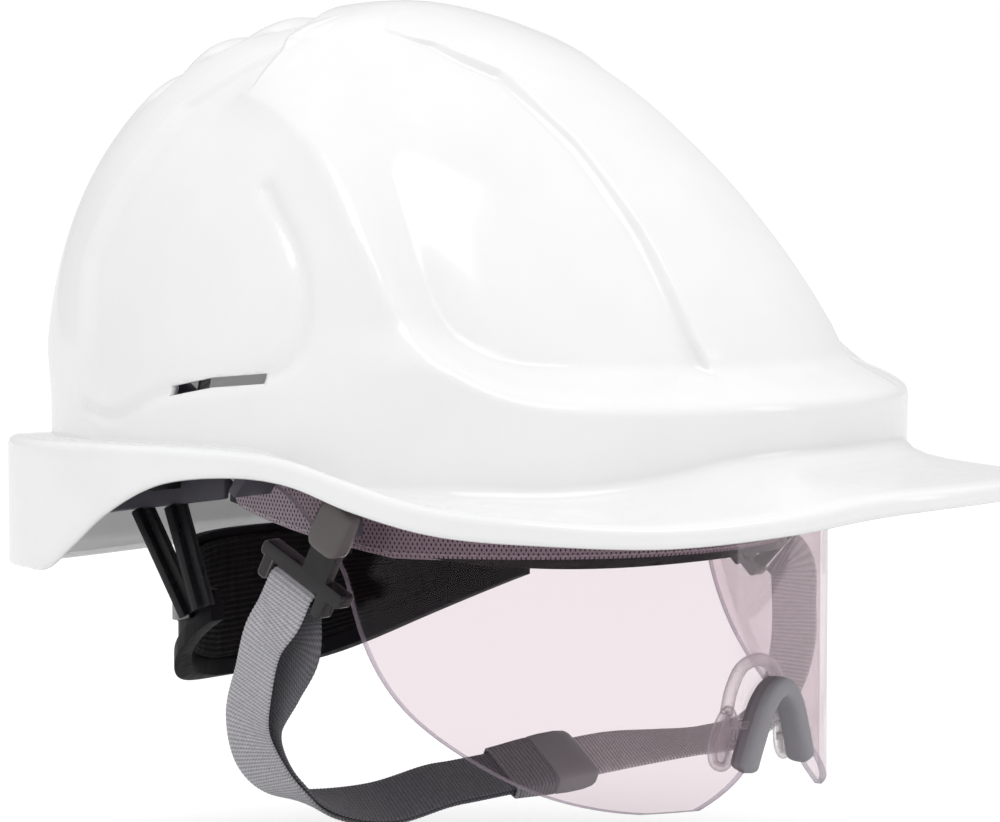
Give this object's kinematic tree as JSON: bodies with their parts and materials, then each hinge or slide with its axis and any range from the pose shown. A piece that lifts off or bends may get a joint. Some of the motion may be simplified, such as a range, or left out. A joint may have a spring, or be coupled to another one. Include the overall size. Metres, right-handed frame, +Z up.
{
  "type": "hard hat",
  "caption": "Vented safety helmet with a short peak, a retractable clear visor, a ratchet head harness and an adjustable chin strap.",
  "frame": {"origin": "centre of the head opening, on the plane of the lower edge of the headband", "axes": "+Z up to the crown, -Y forwards over the peak, -X towards the right ear of the wearer"},
  "size_m": [0.212, 0.2991, 0.2162],
  "materials": {
    "shell_white": "glossy injection-moulded ABS",
    "harness_black": "glossy black nylon",
    "harness_grey": "satin dark grey nylon",
    "clip_brown": "glossy brown-black nylon",
    "sweat_leatherette": "perforated leatherette over foam",
    "nape_foam": "ribbed soft pad",
    "webbing_light": "woven ribbed polyester webbing",
    "webbing_dark": "woven polyester webbing",
    "visor_clear": "clear polycarbonate with a faint smoke tint",
    "grip_grey": "soft grey moulding",
    "saddle_silicone": "soft clear silicone",
    "buckle_grey": "satin dark grey nylon"
  },
  "bodies": {
    "hat": {"cradle_strap_cross_1": "webbing_dark", "cradle_strap_cross_2": "webbing_dark", "cradle_strap_side": "webbing_dark", "hanger_left": "harness_grey", "hanger_right": "harness_grey", "headband": "harness_black", "nape_band": "harness_black", "nape_pad": "nape_foam", "ratchet_housing": "harness_black", "shell": "shell_white", "shell_key_left_1": "harness_black", "shell_key_left_2": "harness_black", "shell_key_right_1": "harness_black", "shell_key_right_2": "harness_black", "strap_anchor_left": "harness_grey", "strap_anchor_right": "harness_grey", "strut_left_1": "harness_black", "strut_left_2": "harness_black", "strut_right_1": "harness_black", "strut_right_2": "harness_black", "sweatband": "sweat_leatherette", "tail_keeper_left": "harness_black", "tail_keeper_right": "harness_black", "visor_track_left": "harness_grey", "visor_track_right": "harness_grey"},
    "visor_carriage": {"visor_carriage_left": "grip_grey", "visor_carriage_right": "grip_grey", "pivot_cap_left": "grip_grey", "pivot_cap_right": "grip_grey"},
    "visor": {"visor_lens": "visor_clear", "nose_grip": "grip_grey", "nose_saddle": "saddle_silicone"},
    "ratchet_knob": {"ratchet_knob": "harness_black", "ratchet_pinion": "harness_grey"},
    "ratchet_tail_left": {"ratchet_tail_left": "harness_black"},
    "ratchet_tail_right": {"ratchet_tail_right": "harness_black"},
    "chin_strap": {"chin_clip_left": "clip_brown", "chin_clip_right": "clip_brown", "chin_strap_left": "webbing_light", "chin_strap_loop": "webbing_light", "chin_strap_right_inner": "webbing_dark", "chin_strap_right_outer": "webbing_light"},
    "slider_buckle": {"slider_buckle": "buckle_grey"}
  },
  "joints": [
    {"name": "visor_slide", "type": "slide", "parent": "hat", "child": "visor_carriage", "axis": [0, 0.8192, 0.5736], "range_m": [0, 0.024]},
    {"name": "visor_tilt", "type": "hinge", "parent": "visor_carriage", "child": "visor", "pos_m": [0, 0.017, 0.023], "axis": [-1, 0, 0], "range_deg": [0, 32]},
    {"name": "ratchet_turn", "type": "hinge", "parent": "hat", "child": "ratchet_knob", "pos_m": [0, 0.0966, -0.028], "axis": [0, 1, 0], "range_deg": [-68, 68]},
    {"name": "tail_left_feed", "type": "hinge", "parent": "hat", "child": "ratchet_tail_left", "pos_m": [0, 0.0322, -0.028], "axis": [0, 0, 1], "range_deg": [-5.4, 5.4]},
    {"name": "tail_right_feed", "type": "hinge", "parent": "hat", "child": "ratchet_tail_right", "pos_m": [0, 0.0322, -0.028], "axis": [0, 0, 1], "range_deg": [-5.4, 5.4]},
    {"name": "chin_swing", "type": "hinge", "parent": "hat", "child": "chin_strap", "pos_m": [0, -0.0173, 0.0082], "axis": [1, 0, 0], "range_deg": [-5, 25]},
    {"name": "buckle_slide", "type": "slide", "parent": "chin_strap", "child": "slider_buckle", "axis": [0.9533, -0.2921, 0.0769], "range_m": [-0.008, 0.008]}
  ],
  "couplings": [
    {"joint": "visor_slide", "follows": "visor_tilt", "m_per_rad": 0.0429},
    {"joint": "tail_left_feed", "follows": "ratchet_turn", "ratio": -0.0785},
    {"joint": "tail_right_feed", "follows": "ratchet_turn", "ratio": 0.0785}
  ]
}
